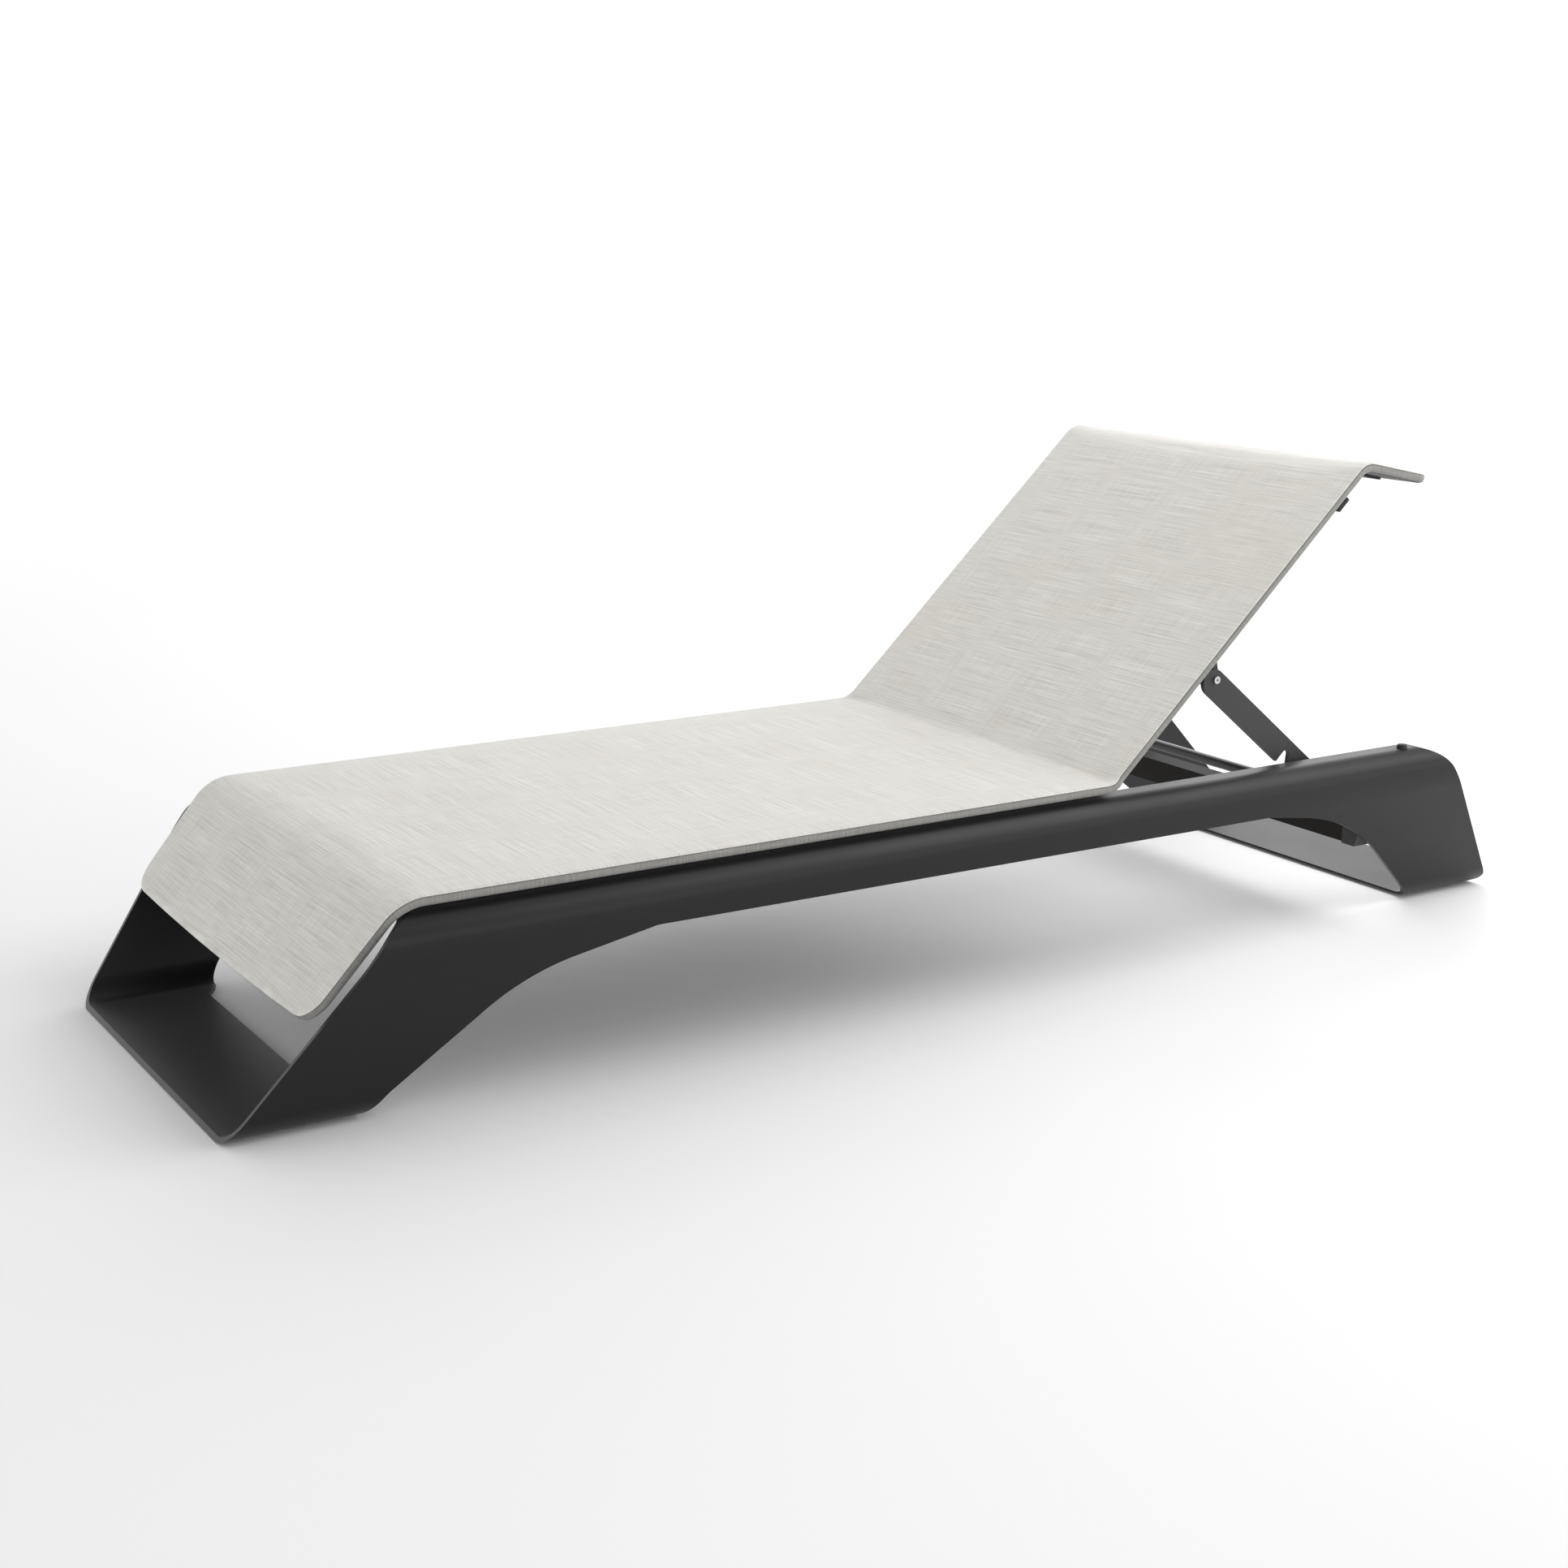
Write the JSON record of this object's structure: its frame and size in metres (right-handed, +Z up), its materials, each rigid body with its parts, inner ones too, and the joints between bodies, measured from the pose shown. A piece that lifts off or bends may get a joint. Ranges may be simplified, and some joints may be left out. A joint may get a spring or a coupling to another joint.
{
  "type": "adjustable sun lounger",
  "caption": "Low sun lounger: bent-sheet aluminium frame with splayed leg rings, padded drooping deck, and a hinged back rest propped on notched arms over a cross rod.",
  "frame": {"origin": "middle of the footprint, on the ground", "axes": "+X towards the head end, +Y across, +Z up"},
  "size_m": [2.0273, 0.7, 0.6812],
  "materials": {
    "frame_coat": "satin anthracite powder coat",
    "tube_coat": "satin dark grey powder coat",
    "prop_coat": "satin mid grey powder coat",
    "cast_alloy": "fine cast texture, painted",
    "deck_fabric": "streaked woven outdoor fabric over thin foam",
    "rubber": "matte",
    "black_plastic": "moulded",
    "bush_plastic": "natural nylon",
    "stainless": "turned"
  },
  "bodies": {
    "frame": {"left_side_shell": "frame_coat", "right_side_shell": "frame_coat", "foot_base_plate": "frame_coat", "head_base_plate": "frame_coat", "left_inner_rail": "tube_coat", "right_inner_rail": "tube_coat", "rail_end_caps": "black_plastic", "rail_bolts": "stainless", "front_cross_tube": "tube_coat", "middle_cross_tube": "tube_coat", "hinge_cross_tube": "tube_coat", "rear_cross_member": "tube_coat", "left_cross_bracket": "cast_alloy", "right_cross_bracket": "cast_alloy", "prop_rod": "prop_coat", "left_rod_hanger": "tube_coat", "right_rod_hanger": "tube_coat", "rod_clips": "stainless", "hanger_screws": "stainless", "left_seat_rail": "tube_coat", "right_seat_rail": "tube_coat", "front_seat_bar": "tube_coat", "middle_seat_bar": "tube_coat", "rear_seat_bar": "tube_coat", "seat_rail_screws": "stainless", "hinge_pins": "stainless", "rubber_feet": "rubber", "beam_bumpers": "rubber", "seat_pad": "deck_fabric"},
    "back": {"left_back_rail": "tube_coat", "right_back_rail": "tube_coat", "back_lower_bar": "tube_coat", "back_middle_bar": "tube_coat", "back_upper_bar": "tube_coat", "flap_bar": "tube_coat", "left_prop_bracket": "prop_coat", "right_prop_bracket": "prop_coat", "pivot_bolts": "stainless", "bracket_screws": "stainless", "back_rest_pads": "rubber", "back_pad": "deck_fabric"},
    "left_prop": {"left_prop_arm": "prop_coat", "left_arm_bush": "bush_plastic"},
    "right_prop": {"right_prop_arm": "prop_coat", "right_arm_bush": "bush_plastic"}
  },
  "joints": [
    {"name": "back_recline", "type": "hinge", "parent": "frame", "child": "back", "pos_m": [0.23919, 0, 0.252], "axis": [0, 1, 0], "range_deg": [0, 43.1]},
    {"name": "left_prop_swing", "type": "hinge", "parent": "back", "child": "left_prop", "pos_m": [0.43749, -0.279, 0.38594], "axis": [0, 1, 0], "range_deg": [-86.5, 0]},
    {"name": "right_prop_swing", "type": "hinge", "parent": "back", "child": "right_prop", "pos_m": [0.43749, 0.279, 0.38594], "axis": [0, 1, 0], "range_deg": [-86.5, 0]}
  ],
  "couplings": [
    {"joint": "left_prop_swing", "follows": "back_recline", "ratio": -2.0046},
    {"joint": "right_prop_swing", "follows": "back_recline", "ratio": -2.0046}
  ]
}
